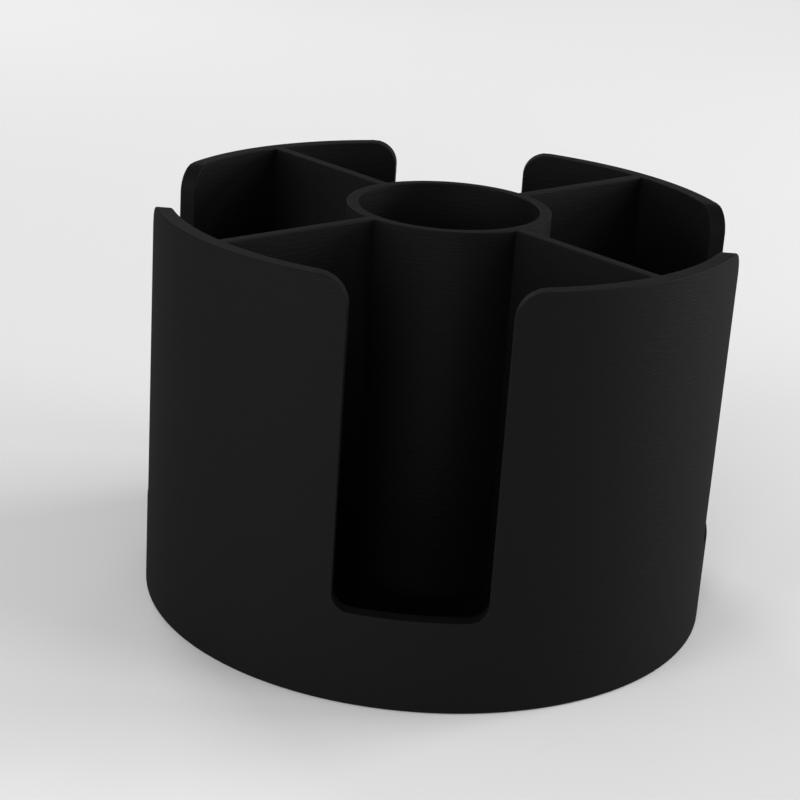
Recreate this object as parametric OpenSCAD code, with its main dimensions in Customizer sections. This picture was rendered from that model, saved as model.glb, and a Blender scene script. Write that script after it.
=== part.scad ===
// Remote control holder: a round drum with four open slots, a pen tube in
// the middle and four dividers that make a compartment behind each slot.
// The origin is the centre of the surface that the holder stands on.
// +Z is up and the front slot faces -Y. All sizes are in millimetres.

/* [Drum] */
// Outer diameter of the drum
drum_d = 150; // [130:1:200]
// Height of the rim above the surface that the holder stands on
holder_h = 105; // [80:1:160]
// Thickness of the drum wall
wall_t = 4; // [3.6:0.1:6]
// Radius of the drum wall's outer bottom edge
bottom_edge_r = 0.3; // [0.2:0.1:1.5]

/* [Slots] */
// Width of each slot
slot_w = 37; // [26:1:46]
// Height of a slot's sill above the surface
sill_h = 24; // [14:1:50]
// Radius of a slot's two lower corners
slot_corner_r = 6; // [1:0.5:12]
// Radius of the rim where it turns down into a slot
slot_shoulder_r = 7; // [1:0.5:12]

/* [Pen tube] */
// Outer diameter of the tube
tube_d = 52.5; // [36:0.5:64]
// Thickness of the tube's wall
tube_t = 3; // [2.4:0.1:5]

/* [Dividers] */
// Thickness of a divider
divider_t = 3; // [2.4:0.1:5]
// Thickness of the tongue along a divider's two ends and its foot
tongue_t = 1.6; // [1:0.1:2]
// How far a tongue reaches into the drum wall and into the tube
tongue_l = 1.2; // [0.8:0.1:1.6]
// Distance from the rim down to the blind top of the grooves
groove_stop = 3; // [2:0.5:8]

/* [Base plate] */
// Thickness of the base plate
plate_t = 7; // [5:0.5:10]
// Thickness of the flange at the plate's edge
flange_t = 4; // [2.5:0.5:4.5]
// How far the flange reaches under the drum wall
flange_w = 2; // [1:0.1:2.4]
// Depth of the grooves that seat the tube and the dividers
seat_depth = 1.5; // [0.8:0.1:2]

/* [Foot pads] */
// Diameter of a foot pad
pad_d = 12; // [8:0.5:18]
// Thickness of a foot pad
pad_t = 1.5; // [1:0.1:3]
// How far a pad stands out below the base plate
pad_proud = 0.2; // [0.1:0.1:0.8]
// Bare margin between a pad and the base plate's edge
pad_margin = 9; // [4:0.5:20]
// Chamfer of a pad's lower edge
pad_chamfer = 0.1; // [0.1:0.1:0.3]

/* [Fits] */
// Clearance on each side of a tongue, flange or tube end in its groove
fit_gap = 0.15; // [0.05:0.05:0.3]
// Hairline left where a divider's shoulder meets the tube, wall or plate
butt_gap = 0.1; // [0.05:0.05:0.3]

/* [Hidden] */
$fn = 180;
plastic_colour = "#232323";
pad_colour = "#141414";
// Extra length that takes a cut right through a face
over = 1;
wall_r = drum_d / 2;
wall_in_r = wall_r - wall_t;
tube_r = tube_d / 2;
tube_in_r = tube_r - tube_t;
rebate_r = wall_in_r + flange_w;
plate_r = rebate_r - fit_gap;
pad_centre_r = plate_r - pad_margin - pad_d / 2;
// Heights, from the bottom up
wall_bottom_z = pad_proud;
ledge_z = wall_bottom_z + flange_t;
floor_z = wall_bottom_z + plate_t;
seat_z = floor_z - seat_depth;
groove_top_z = holder_h - groove_stop;
tongue_top_z = groove_top_z - fit_gap;
// The four corner directions between the slots
corner_angles = [45, 135, 225, 315];

// Outline of one slot as it is seen from the front, x across and y up
module slot_outline() {
    half_w = slot_w / 2;
    cut_top = holder_h + over;
    translate([-half_w, sill_h + slot_corner_r])
        square([slot_w, cut_top - sill_h - slot_corner_r]);
    translate([-half_w + slot_corner_r, sill_h])
        square([slot_w - 2 * slot_corner_r, cut_top - sill_h]);
    for (side = [-1, 1]) {
        translate([side * (half_w - slot_corner_r), sill_h + slot_corner_r])
            circle(r = slot_corner_r);
        slot_shoulder(side);
    }
}

// The corner that a shoulder's round leaves open between slot and rim
module slot_shoulder(side) {
    arc_x = slot_w / 2 + slot_shoulder_r;
    arc_z = holder_h - slot_shoulder_r;
    difference() {
        translate([side * (arc_x - slot_shoulder_r / 2), (arc_z + holder_h + over) / 2])
            square([slot_shoulder_r, slot_shoulder_r + over], center = true);
        translate([side * arc_x, arc_z])
            circle(r = slot_shoulder_r);
    }
}

// Upright slab that runs outwards from the axis at one corner angle
module radial_slab(angle, thickness, bottom_z, top_z) {
    rotate([0, 0, angle])
        translate([0, -thickness / 2, bottom_z])
            cube([drum_d, thickness, top_z - bottom_z]);
}

// Part of a radial slab that lies between two radii
module radial_web(angle, thickness, inner_r, outer_r, bottom_z, top_z) {
    difference() {
        intersection() {
            radial_slab(angle, thickness, bottom_z, top_z);
            translate([0, 0, bottom_z - over])
                cylinder(r = outer_r, h = top_z - bottom_z + 2 * over);
        }
        translate([0, 0, bottom_z - over])
            cylinder(r = inner_r, h = top_z - bottom_z + 2 * over);
    }
}

// Tongue that runs along a divider's two ends and its foot, or its groove
module tongue(angle, clearance, bottom_z, top_z) {
    radial_web(angle, tongue_t + 2 * clearance, tube_r - tongue_l - clearance,
               wall_in_r + tongue_l + clearance, bottom_z, top_z);
}

module outer_wall() {
    color(plastic_colour)
    difference() {
        rotate_extrude() wall_section();
        for (turn = [0, 90])
            rotate([90, 0, turn])
                linear_extrude(height = drum_d + 2 * over, center = true)
                    slot_outline();
        for (angle = corner_angles)
            tongue(angle, fit_gap, ledge_z - over, groove_top_z);
    }
}

// Section of the drum wall, stepped at the foot for the plate's flange
module wall_section() {
    difference() {
        translate([wall_in_r, wall_bottom_z])
            square([wall_t, holder_h - wall_bottom_z]);
        translate([wall_in_r - over, wall_bottom_z - over])
            square([rebate_r - wall_in_r + over, flange_t + over]);
        difference() {
            translate([wall_r - bottom_edge_r, wall_bottom_z - over])
                square([bottom_edge_r + over, bottom_edge_r + over]);
            translate([wall_r - bottom_edge_r, wall_bottom_z + bottom_edge_r])
                circle(r = bottom_edge_r);
        }
    }
}

module base_plate() {
    color(plastic_colour)
    difference() {
        union() {
            translate([0, 0, wall_bottom_z])
                cylinder(r = wall_in_r - fit_gap, h = plate_t);
            translate([0, 0, wall_bottom_z])
                cylinder(r = plate_r, h = flange_t);
        }
        translate([0, 0, seat_z])
            difference() {
                cylinder(r = tube_r + fit_gap, h = seat_depth + over);
                translate([0, 0, -over])
                    cylinder(r = tube_in_r - fit_gap, h = seat_depth + 3 * over);
            }
        for (angle = corner_angles) {
            radial_web(angle, tongue_t + 2 * fit_gap, tube_r, drum_d,
                       seat_z, floor_z + over);
            pad_place(angle) cylinder(d = pad_d + 2 * fit_gap, h = pad_t);
        }
    }
}

module centre_tube() {
    color(plastic_colour)
    difference() {
        translate([0, 0, seat_z])
            cylinder(r = tube_r, h = holder_h - seat_z);
        translate([0, 0, seat_z - over])
            cylinder(r = tube_in_r, h = holder_h - seat_z + 2 * over);
        for (angle = corner_angles)
            tongue(angle, fit_gap, seat_z - over, groove_top_z);
    }
}

// One divider: a shouldered web with a thinner tongue round three sides
module divider(angle) {
    color(plastic_colour)
    union() {
        radial_web(angle, divider_t, tube_r + butt_gap, wall_in_r - butt_gap,
                   floor_z + butt_gap, holder_h);
        tongue(angle, 0, seat_z, tongue_top_z);
    }
}

module divider_front_left() { divider(225); }
module divider_front_right() { divider(315); }
module divider_back_left() { divider(135); }
module divider_back_right() { divider(45); }

// Places a pad, with its lower face on the surface
module pad_place(angle) {
    rotate([0, 0, angle])
        translate([pad_centre_r, 0, 0])
            children();
}

module foot_pads() {
    color(pad_colour)
    for (angle = corner_angles)
        pad_place(angle) {
            cylinder(d1 = pad_d - 2 * pad_chamfer, d2 = pad_d, h = pad_chamfer);
            translate([0, 0, pad_chamfer])
                cylinder(d = pad_d, h = pad_t - pad_chamfer);
        }
}

outer_wall();
base_plate();
centre_tube();
divider_front_left();
divider_front_right();
divider_back_left();
divider_back_right();
foot_pads();
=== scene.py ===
# %% [markdown]
# A holder for remote controls, printed in matte black PLA. Four slots cut the
# round drum wall, a pen tube stands in the middle, and four dividers part the
# room between them into quarters. The CAD model gives the sizes and places.
# Blender adds what a printer leaves behind: soft edges, layer lines and a dry,
# dark surface with a faint, wide shine.

# %% Load the frame
import math
import bmesh
import bpy
from mathutils import Matrix, Vector


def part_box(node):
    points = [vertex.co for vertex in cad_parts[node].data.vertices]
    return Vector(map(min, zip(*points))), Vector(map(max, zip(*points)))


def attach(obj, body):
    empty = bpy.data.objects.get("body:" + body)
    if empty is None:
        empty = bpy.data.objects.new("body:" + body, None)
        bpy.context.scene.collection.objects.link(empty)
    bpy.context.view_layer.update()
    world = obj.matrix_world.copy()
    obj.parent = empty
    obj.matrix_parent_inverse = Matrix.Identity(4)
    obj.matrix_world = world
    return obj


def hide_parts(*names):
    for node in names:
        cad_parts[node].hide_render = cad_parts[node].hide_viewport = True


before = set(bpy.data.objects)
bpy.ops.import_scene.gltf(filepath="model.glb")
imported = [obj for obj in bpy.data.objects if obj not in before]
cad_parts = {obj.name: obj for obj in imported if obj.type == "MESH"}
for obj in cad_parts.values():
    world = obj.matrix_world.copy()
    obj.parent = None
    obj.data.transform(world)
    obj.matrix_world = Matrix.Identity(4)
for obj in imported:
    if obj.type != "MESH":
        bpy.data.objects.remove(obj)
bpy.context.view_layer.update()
print("CAD nodes:", ", ".join(sorted(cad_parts)))

# %% [markdown]
# The camera comes first, so that each piece can be judged as soon as it is
# made. The holder is seen from a little above and almost square to one slot,
# with a long lens, which keeps the drum's sides nearly upright. The picture is
# tilted a few degrees, so the camera is rolled about its own line of sight.

# %% Set up the camera
CAMERA_PLACE = Vector((0.01485, -0.47246, 0.22414))
CAMERA_AIM = Vector((-0.00920, -0.00029, 0.05124))
CAMERA_ROLL = math.radians(3.85)

camera = bpy.data.objects.new("camera", bpy.data.cameras.new("camera"))
camera.data.sensor_width = 36
camera.data.lens = 85.42
camera.location = CAMERA_PLACE
aimed = (CAMERA_AIM - CAMERA_PLACE).to_track_quat("-Z", "Y").to_matrix()
camera.rotation_euler = (aimed @ Matrix.Rotation(CAMERA_ROLL, 3, "Z")).to_euler()
bpy.context.scene.collection.objects.link(camera)
bpy.context.scene.camera = camera
print("camera", round((CAMERA_AIM - CAMERA_PLACE).length, 3), "m from its aim")

# %% [markdown]
# The outer sizes are read from the CAD nodes, so that the looks fit the frame.
# The sizes that a bounding box can't give, such as the width of a slot, are
# written down here once, in millimetres, as they are in the CAD. The lower
# corners of the slots alone are a little tighter than the CAD's 6 mm, because
# the real ones look so from close by.

# %% Measure the holder
MM = 0.001
wall_low, wall_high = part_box("outer_wall")
tube_low, tube_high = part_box("centre_tube")
drum_r, rim_z, foot_z = wall_high.x, wall_high.z, wall_low.z
tube_r, tube_foot_z = tube_high.x, tube_low.z
floor_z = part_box("base_plate")[1].z

WALL_THICK, TUBE_THICK, DIVIDER_THICK = 4 * MM, 3 * MM, 3 * MM
SLOT_WIDE, SILL_Z = 37 * MM, 24 * MM
CORNER_R, SHOULDER_R = 4.5 * MM, 7 * MM
REBATE_R, FLANGE_THICK = 73 * MM, 4 * MM
FOOT_ROUND = 0.3 * MM
drum_in_r = drum_r - WALL_THICK
tube_in_r = tube_r - TUBE_THICK
ledge_z = foot_z + FLANGE_THICK
print("drum radius", round(drum_r / MM, 2), "mm, rim at", round(rim_z / MM, 2), "mm")

# %% [markdown]
# A printed edge is never sharp: the nozzle lays a round bead, so each rim ends
# in a small round of about a third of a millimetre. It is what catches the
# light along the rims. A Bevel modifier would do it, but it trips over the thin
# faces where a slot's round corner runs out into a straight edge. So the rounds
# are built with the surfaces, and each corner point is given its exact normal,
# which keeps the flat faces flat and the curved ones smooth.

# %% Helpers that weave a skin from rows of points
EDGE = 0.35 * MM
EDGE_STEPS = 4
SHARP = math.cos(math.radians(50))  # a normal that leans more doesn't suit a face


def start_skin():
    """An empty skin: corner points, their normals, and faces between them."""
    return {"seen": {}, "spots": [], "normals": [], "faces": []}


def corner(skin, spot, normal):
    """Number of a corner point. Corners that meet are one."""
    key = tuple(round(c / MM, 4) for c in spot)
    if key not in skin["seen"]:
        skin["seen"][key] = len(skin["spots"])
        skin["spots"].append(tuple(spot))
        skin["normals"].append(Vector(normal).normalized())
    return skin["seen"][key]


def weave(skin, rows):
    """Fills the space between each two neighbouring rows with faces."""
    numbered = [[corner(skin, *spot) for spot in row] for row in rows]
    for upper, lower in zip(numbered, numbered[1:]):
        for face in zip(upper, upper[1:], lower[1:], lower):
            skin["faces"].append(face)


def make_piece(name, skin):
    """Makes the skin an object. A face takes a corner's normal if it fits."""
    mesh = bpy.data.meshes.new(name)
    mesh.from_pydata(skin["spots"], [], skin["faces"])
    solid = bmesh.new()
    solid.from_mesh(mesh)
    bmesh.ops.recalc_face_normals(solid, faces=solid.faces)
    open_edges = sum(not edge.is_manifold for edge in solid.edges)
    solid.to_mesh(mesh)
    solid.free()
    mesh.shade_smooth()
    mesh.normals_split_custom_set([
        skin["normals"][v] if skin["normals"][v].dot(face.normal) > SHARP
        else face.normal.copy() for face in mesh.polygons for v in face.vertices])
    piece = bpy.data.objects.new(name, mesh)
    bpy.context.scene.collection.objects.link(piece)
    print(name, "has", len(mesh.polygons), "faces and", open_edges, "open edges")
    return piece


# %% [markdown]
# The drum wall is one printed ring with four U-shaped slots. Its eighth part,
# from the middle of a slot to the corner between two slots, holds the whole
# shape. So only that is worked out, and it is laid round the axis eight times,
# every second time as a mirror image. The slots are cut straight across the
# drum: their two sides are parallel, also within the thickness of the wall.
#
# Where a printed surface slopes, its layers end in small steps. They show along
# the rounds of the slots, above all where a round runs out level and the steps
# get long. So a round is followed in soft steps: over each layer of 0.3 mm, its
# points first go straight up and then catch up sideways.

# %% Outline one half of a slot
LAYER = 0.3 * MM
ROUND_STEPS, SILL_STEPS, UPRIGHT_STEPS = 120, 6, 12


def slot_round(across, up, radius, first, last, side):
    """Points of a round: place, direction into the opening, and normal."""
    spots = []
    for step in range(ROUND_STEPS + 1):
        turn = math.radians(first + (last - first) * step / ROUND_STEPS)
        a, u = math.cos(turn), math.sin(turn)
        in_layer = 2 * math.pi * (up + radius * u) / LAYER
        stepped = u - LAYER / radius * math.sin(in_layer) / (2 * math.pi)
        stepped_a = math.copysign(math.sqrt(max(0, 1 - stepped ** 2)), a)
        tread = 1 - math.cos(in_layer)      # 0 where the points go straight up
        normal = (stepped_a, stepped * tread)
        if step in (0, ROUND_STEPS):        # both ends meet a flat face
            normal = (a, u)
        normal = Vector(normal).normalized()
        spots.append((across + radius * stepped_a, up + radius * u,
                      side * a, side * u, side * normal[0], side * normal[1]))
    return spots


half_slot = SLOT_WIDE / 2
corner_across, corner_up = half_slot - CORNER_R, SILL_Z + CORNER_R
shoulder_across, shoulder_up = half_slot + SHOULDER_R, rim_z - SHOULDER_R
sill = [(corner_across * step / SILL_STEPS, SILL_Z, 0, 1, 0, 1)
        for step in range(SILL_STEPS)]
low_corner = slot_round(corner_across, corner_up, CORNER_R, -90, 0, -1)
upright = [(half_slot, corner_up + (shoulder_up - corner_up) * step / UPRIGHT_STEPS,
            -1, 0, -1, 0) for step in range(1, UPRIGHT_STEPS)]
shoulder = slot_round(shoulder_across, shoulder_up, SHOULDER_R, 180, 90, 1)
print("half a slot:", len(sill + low_corner + upright + shoulder), "outline points")

# %% Build one eighth of the drum wall
COLUMNS, RING_STEPS, FOOT_STEPS = 14, 4, 6


def wall_spot(across, column, radius, z, cut=(0, 0), lean=0, side=1):
    """A wall point, with a normal that leans from the surface to the cut."""
    start = math.asin(across / radius)
    turn = start + (math.pi / 4 - start) * column / COLUMNS
    x, y = math.cos(turn), math.sin(turn)
    out, over = side * math.cos(lean), math.sin(lean)
    normal = (out * x, out * y + over * cut[0], over * cut[1])
    return (radius * x, radius * y, z), normal


def edge_band(across, up, a, u, *cut, column=0):
    """Across the wall's thickness: a round, the flat cut, another round."""
    band = []
    leans = [math.pi / 2 * step / EDGE_STEPS for step in range(EDGE_STEPS + 1)]
    for radius, side, order in ((drum_r, 1, leans), (drum_in_r, -1, leans[::-1])):
        for lean in order:
            back = EDGE * (1 - math.sin(lean))
            inset = EDGE * (1 - math.cos(lean)) * side
            band.append(wall_spot(across - back * a, column, radius - inset,
                                  up - back * u, cut, lean, side))
    return band


def beside_slot(radius, side):
    """Level rows from the slot's edge to the corner between two slots."""
    return [[wall_spot(across - EDGE * a, column, radius, up - EDGE * u, side=side)
             for column in range(COLUMNS + 1)]
            for across, up, a, u, *_ in low_corner + upright + shoulder]


edge_rows = [edge_band(*spot) for spot in sill + low_corner + upright + shoulder]
edge_rows += [edge_band(shoulder_across, rim_z, 0, 1, 0, 1, column=column)
              for column in range(1, COLUMNS + 1)]

# The ring below the sill, as a section of radius, height, and normal
ring_top = SILL_Z - EDGE
foot_arc = [math.pi / 2 * step / FOOT_STEPS for step in range(FOOT_STEPS + 1)]
section = [(drum_r, ring_top + (foot_z + FOOT_ROUND - ring_top) * step / RING_STEPS,
            0, 1) for step in range(RING_STEPS)]
section += [(drum_r - FOOT_ROUND * (1 - math.cos(turn)),
             foot_z + FOOT_ROUND * (1 - math.sin(turn)), turn, 1) for turn in foot_arc]
section += [(REBATE_R, foot_z, 0, -1), (REBATE_R, ledge_z, 0, -1)]
section += [(drum_in_r, ledge_z + (ring_top - ledge_z) * step / RING_STEPS, 0, -1)
            for step in range(RING_STEPS + 1)]
ring_columns = [(spot[0], 0) for spot in sill]
ring_columns += [(corner_across, column) for column in range(COLUMNS + 1)]
ring_rows = [[wall_spot(across, column, radius, z, (0, -1), lean, side)
              for across, column in ring_columns]
             for radius, z, lean, side in section]
patches = [edge_rows, ring_rows, beside_slot(drum_r, 1), beside_slot(drum_in_r, -1)]
print("one eighth:", sum(len(row) for rows in patches for row in rows), "points")

# %% Lay the eighth round the axis eight times
wall_skin = start_skin()
for ahead, aside in ((1, 0), (0, 1), (-1, 0), (0, -1)):
    for mirror in (1, -1):
        lay = Matrix(((ahead, -aside * mirror, 0), (aside, ahead * mirror, 0),
                      (0, 0, 1)))
        for rows in patches:
            weave(wall_skin, [[(lay @ Vector(spot), lay @ Vector(normal))
                               for spot, normal in row] for row in rows])
drum_wall = make_piece("drum_wall", wall_skin)
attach(drum_wall, "root")
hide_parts("outer_wall")

# %% [markdown]
# The pen tube is a plain round tube that stands in a ring-shaped seat of the
# base plate. A Screw modifier could turn its section, but the same rows that
# made the wall do it too: the section of the tube wall is set up once, and laid
# round the axis in small turns.

# %% Turn the pen tube
TUBE_TURNS = 192


def rim_section(inner, outer, foot):
    """Section of an upright wall with a round on both edges of its top."""
    spots = [(outer, foot, 1, 0)]
    for middle, side in ((outer - EDGE, 1), (inner + EDGE, -1)):
        for step in range(EDGE_STEPS + 1):
            turn = math.pi / 2 * (step if side > 0 else EDGE_STEPS - step) / EDGE_STEPS
            out, up = side * math.cos(turn), math.sin(turn)
            spots.append((middle + EDGE * out, rim_z - EDGE + EDGE * up, out, up))
    return spots + [(inner, foot, -1, 0)]


tube_rows = []
tube_section = rim_section(tube_in_r, tube_r, tube_foot_z)
for step in range(TUBE_TURNS + 1):
    turn = 2 * math.pi * step / TUBE_TURNS
    x, y = math.cos(turn), math.sin(turn)
    tube_rows.append([((r * x, r * y, z), (out * x, out * y, up))
                      for r, z, out, up in tube_section + tube_section[:1]])
tube_skin = start_skin()
weave(tube_skin, tube_rows)
pen_tube = make_piece("pen_tube", tube_skin)
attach(pen_tube, "root")
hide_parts("centre_tube")

# %% [markdown]
# A divider is a flat web from the tube to the drum wall. Its top has the same
# soft edges as the rims, and it runs on into them: both ends follow the curve
# of the rim that they meet, so that the tops join without a step or a gap. The
# four dividers are alike, so one mesh is made, and turned to the four corners.

# %% Build the dividers
DIVIDER_PLACES = {"back_right": 45, "back_left": 135,
                  "front_left": 225, "front_right": 315}
near_r, far_r = tube_r - EDGE, drum_in_r + EDGE
web_section = rim_section(-DIVIDER_THICK / 2, DIVIDER_THICK / 2, floor_z)
web_skin = start_skin()
web_ends = [[((math.sqrt(reach ** 2 - y ** 2), y, z), (0, out, up))
             for y, z, out, up in web_section] for reach in (near_r, far_r)]
weave(web_skin, [row + row[:1] for row in web_ends])
for row in web_ends:
    web_skin["faces"].append([corner(web_skin, *spot) for spot in row])
web = make_piece("divider_web", web_skin)
dividers = [web] + [web.copy() for _ in range(3)]
for divider, (place, angle) in zip(dividers, DIVIDER_PLACES.items()):
    if divider is not web:
        bpy.context.scene.collection.objects.link(divider)
    divider.name = "divider_web_" + place
    divider.rotation_euler.z = math.radians(angle)
    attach(divider, "root")
    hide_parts("divider_" + place)
    print(divider.name, "stands for divider_" + place)

# %% [markdown]
# The holder is made of black PLA, a plastic that a printer lays down in thin
# layers. They show as level lines on the sides. Faces that look up or down show
# the tracks of the nozzle instead: round the rims, along a divider's top, and
# aslant on the floor. All this is less than a tenth of a millimetre deep. It
# could be modelled, but it only matters for the light, so a Bump node draws it.

# %% Helpers for colours and nodes
def srgb(code):
    """Turns a colour such as 1f1f1f into the linear values that Blender mixes."""
    parts = [int(code[i:i + 2], 16) / 255 for i in (0, 2, 4)]
    return [p / 12.92 if p <= 0.04045 else ((p + 0.055) / 1.055) ** 2.4
            for p in parts] + [1]


def node(tree, kind, inputs, **settings):
    """Adds a node. An input that is a socket becomes a link to it."""
    made = tree.nodes.new("ShaderNode" + kind)
    for name, value in settings.items():
        setattr(made, name, value)
    for name, value in inputs.items():
        if isinstance(value, bpy.types.NodeSocket):
            tree.links.new(value, made.inputs[name])
        else:
            made.inputs[name].default_value = value
    return made.outputs


def start_material(name):
    """A new material with its node tree and its shader."""
    material = bpy.data.materials.new(name)
    material.use_nodes = True
    return material, material.node_tree, material.node_tree.nodes["Principled BSDF"]


def dress(piece, material):
    """Gives a piece this one material."""
    piece.data.materials.clear()
    piece.data.materials.append(material)
    print(piece.name, "wears", material.name)


# %% Relief of the nozzle's tracks
# Lines 0.3 mm apart would be lost between the picture's points, so they are drawn
# 0.6 mm apart. A nozzle leaves ridges about a tenth as deep as a layer is high.
# The even ridges are the smaller part of it: beads swell and shrink, which shows
# as level strokes a few millimetres long, and a fine grain lies over both.
WAVE_UNIT = 2 * math.pi / 20    # a Wave texture of scale 1 repeats at this length
LINE_PITCH = 2 * LAYER
STROKE_LENGTH, STROKE_HEIGHT = 5 * MM, 0.5 * MM
GRAIN_PITCH = 0.4 * MM
RIDGE_HEIGHT = 0.035 * MM
LINES_PART, STROKES_PART, GRAIN_PART = 0.3, 2.5, 0.2
TILTED, LYING = 0.8, 0.98       # upward part of the normal, between side and top


def printed_relief(tree, tracks):
    """Strokes and a bump, with tracks that run round, along, or aslant."""
    place = node(tree, "TexCoord", {})["Object"]
    x, y, z = node(tree, "SeparateXYZ", {0: place})
    if tracks == "round":
        flat = node(tree, "CombineXYZ", {"X": x, "Y": y})[0]
        across = node(tree, "VectorMath", {0: flat}, operation="LENGTH")["Value"]
    elif tracks == "along":
        across = y
    else:
        across = node(tree, "Math", {0: x, 1: y}, operation="ADD")[0]
    facing = node(tree, "SeparateXYZ", {0: node(tree, "NewGeometry", {})["Normal"]})
    level = node(tree, "Math", {0: facing["Z"]}, operation="ABSOLUTE")[0]
    lying = node(tree, "MapRange", {"Value": level, "From Min": TILTED,
                                    "From Max": LYING})[0]
    lines_over = node(tree, "Mix", {"Factor": lying, "A": z, "B": across})[0]
    ridges = node(tree, "TexWave", {
        "Vector": node(tree, "CombineXYZ", {"X": lines_over})[0],
        "Scale": WAVE_UNIT / LINE_PITCH})["Fac"]
    stretched = node(tree, "Mapping", {
        "Vector": place, "Scale": (1 / STROKE_LENGTH, 1 / STROKE_LENGTH,
                                   1 / STROKE_HEIGHT)})[0]
    strokes = node(tree, "TexNoise", {"Vector": stretched, "Scale": 1,
                                      "Detail": 2})[0]
    grain = node(tree, "TexNoise", {"Vector": place, "Scale": 1 / GRAIN_PITCH,
                                    "Detail": 2})[0]
    height = node(tree, "Math", {0: ridges, 1: LINES_PART}, operation="MULTIPLY")[0]
    for pattern, part in ((strokes, STROKES_PART), (grain, GRAIN_PART)):
        height = node(tree, "Math", {0: pattern, 1: part, 2: height},
                      operation="MULTIPLY_ADD")[0]
    bump = node(tree, "Bump", {"Height": height, "Strength": 1,
                               "Distance": RIDGE_HEIGHT})[0]
    return strokes, bump


print("layer lines are drawn", round(LINE_PITCH / MM, 2), "mm apart")

# %% [markdown]
# The pigment swallows nearly all the light that goes into the plastic. What the
# eye sees is the faint, wide shine of its surface, which grows at a glancing
# angle. Only the backs of the beads shine, and the rest lies in the hollows
# between them. A lower specular level would weaken the shine too, but far more
# head-on than at a glancing angle. So the shine keeps the plastic's real IOR,
# and a plain diffuse shader takes the place of the part that doesn't shine.

# %% Printed black PLA
PLA_BLACK, PLA_PALER = "0a0a0a", "0c0c0c"
PLA_IOR, SHINING_SHARE = 1.46, 0.225
SMOOTHEST, DULLEST = 0.57, 0.67


def printed_pla(name, tracks):
    """Black PLA, dark and dry: shining ridges, and hollows that don't shine."""
    material, tree, shader = start_material(name)
    strokes, bump = printed_relief(tree, tracks)
    colour = node(tree, "Mix", {0: strokes, 6: srgb(PLA_BLACK), 7: srgb(PLA_PALER)},
                  data_type="RGBA")[2]
    dullness = node(tree, "MapRange", {"Value": strokes, "To Min": SMOOTHEST,
                                       "To Max": DULLEST})[0]
    tree.links.new(bump, shader.inputs["Normal"])
    tree.links.new(colour, shader.inputs["Base Color"])
    tree.links.new(dullness, shader.inputs["Roughness"])
    shader.inputs["IOR"].default_value = PLA_IOR
    hollows = node(tree, "BsdfDiffuse", {"Color": colour, "Normal": bump})[0]
    shown = node(tree, "MixShader", {0: SHINING_SHARE, 1: hollows,
                                     2: shader.outputs[0]})[0]
    tree.links.new(shown, tree.nodes["Material Output"].inputs["Surface"])
    return material


round_tracks = printed_pla("printed_black_PLA_round_tracks", "round")
dress(drum_wall, round_tracks)
dress(pen_tube, round_tracks)
dress(web, printed_pla("printed_black_PLA_straight_tracks", "along"))

# %% [markdown]
# The base plate and the foot pads have the right shape as they are, so the CAD
# nodes stay and only get a better material. The plate is printed too: its floor
# shows the slanting tracks of a filled area.

# %% Dress the base plate
dress(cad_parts["base_plate"],
      printed_pla("printed_black_PLA_slanting_tracks", "aslant"))

# %% Moulded black rubber
RUBBER_BLACK, RUBBER_PALER = "161616", "202020"
RUBBER_GRAIN, RUBBER_DEPTH = 0.5 * MM, 0.05 * MM


def moulded_rubber(name):
    """Non-slip rubber: dull, with the fine blasted grain of its mould."""
    material, tree, shader = start_material(name)
    place = node(tree, "TexCoord", {})["Object"]
    grain = node(tree, "TexNoise", {"Vector": place, "Scale": 1 / RUBBER_GRAIN,
                                    "Detail": 3})[0]
    bump = node(tree, "Bump", {"Height": grain, "Strength": 0.5,
                               "Distance": RUBBER_DEPTH})[0]
    colour = node(tree, "Mix", {0: grain, 6: srgb(RUBBER_BLACK),
                                7: srgb(RUBBER_PALER)}, data_type="RGBA")[2]
    tree.links.new(bump, shader.inputs["Normal"])
    tree.links.new(colour, shader.inputs["Base Color"])
    shader.inputs["Roughness"].default_value = 0.85
    shader.inputs["IOR"].default_value = 1.52
    shader.inputs["Specular IOR Level"].default_value = 0.3
    return material


dress(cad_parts["foot_pads"], moulded_rubber("moulded_black_rubber"))

# %% [markdown]
# The holder stands on a plain pale floor that runs far back, so that no edge or
# horizon shows.

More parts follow.
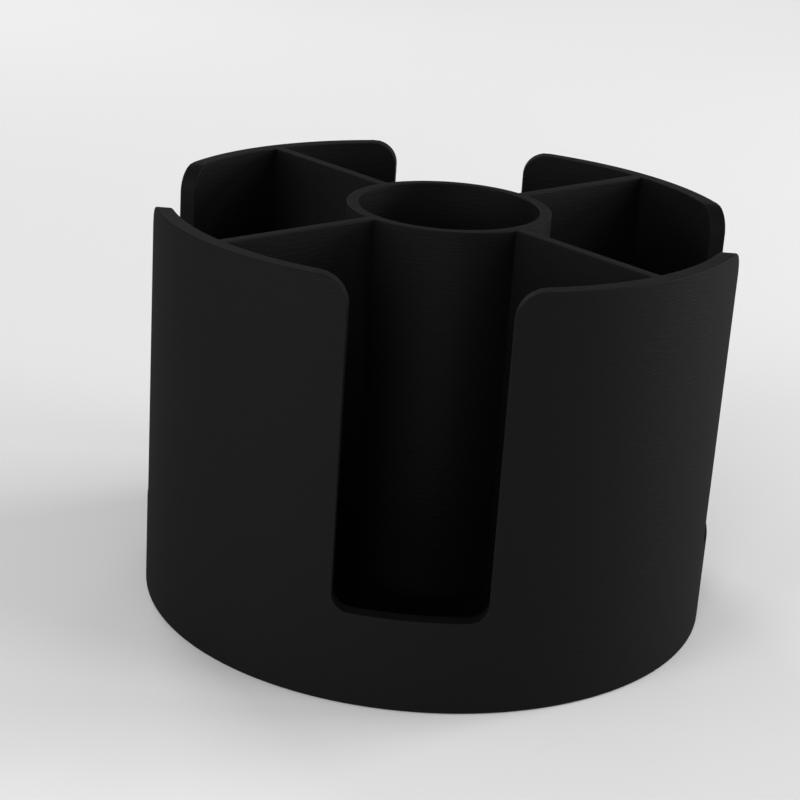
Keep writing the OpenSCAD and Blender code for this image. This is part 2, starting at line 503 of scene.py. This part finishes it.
# %% Lay the floor
FLOOR_SIZE = 8
FLOOR_PALE = "e8e8e8"
bpy.ops.mesh.primitive_plane_add(size=FLOOR_SIZE)
studio_floor = bpy.context.object
studio_floor.name = "studio_floor"
floor_paint, _, floor_shader = start_material("matt_floor_paint")
floor_shader.inputs["Base Color"].default_value = srgb(FLOOR_PALE)
floor_shader.inputs["Roughness"].default_value = 0.9
floor_shader.inputs["Specular IOR Level"].default_value = 0.1
dress(studio_floor, floor_paint)

# %% [markdown]
# The holder is lit as small goods are for a shop: softboxes all round it, and
# pale room light that fills the rest. The lower ones draw the long soft shadows
# on both sides, and the one in front, close to the camera, looks into the front
# compartment. Each is an area lamp that points at the holder, given by its
# bearing seen from above, counted from the right, and its height in degrees.

# %% Light the studio
LAMPS = {
    # name: bearing, height angle, distance and size in metres, and watts
    "front": (264, 22, 0.54, 0.1, 0.49),
    "front_right": (345, 32, 1.5, 0.55, 4.4),
    "right_low": (15, 12, 1.5, 0.55, 12.9),
    "right": (30, 38, 1.5, 0.26, 3.5),
    "back_right": (80, 15, 1.5, 0.26, 0.8),
    "back_left": (120, 32, 1.5, 0.55, 5.1),
    "left_low": (195, 12, 1.5, 0.55, 2.5),
    "front_left_low": (220, 12, 1.5, 0.55, 4.9),
    "front_left": (230, 32, 1.5, 0.55, 4.0),
}
ROOM_LIGHT = 0.37
for name, (bearing, rise, far, size, watts) in LAMPS.items():
    around = Matrix.Rotation(math.radians(bearing), 3, "Z")
    rise = math.radians(rise)
    lamp = bpy.data.objects.new("softbox_" + name, bpy.data.lights.new(name, "AREA"))
    lamp.data.size = size
    lamp.data.energy = watts
    lamp.location = around @ Vector((far * math.cos(rise), 0, far * math.sin(rise)))
    lamp.rotation_euler = lamp.location.to_track_quat("Z", "Y").to_euler()
    lamp.visible_camera = False
    bpy.context.scene.collection.objects.link(lamp)
    print(lamp.name, watts, "W")
world = bpy.data.worlds.new("studio_room")
world.use_nodes = True
world.node_tree.nodes["Background"].inputs["Color"].default_value = srgb("ffffff")
world.node_tree.nodes["Background"].inputs["Strength"].default_value = ROOM_LIGHT
bpy.context.scene.world = world
bpy.context.scene.view_settings.view_transform = "Standard"
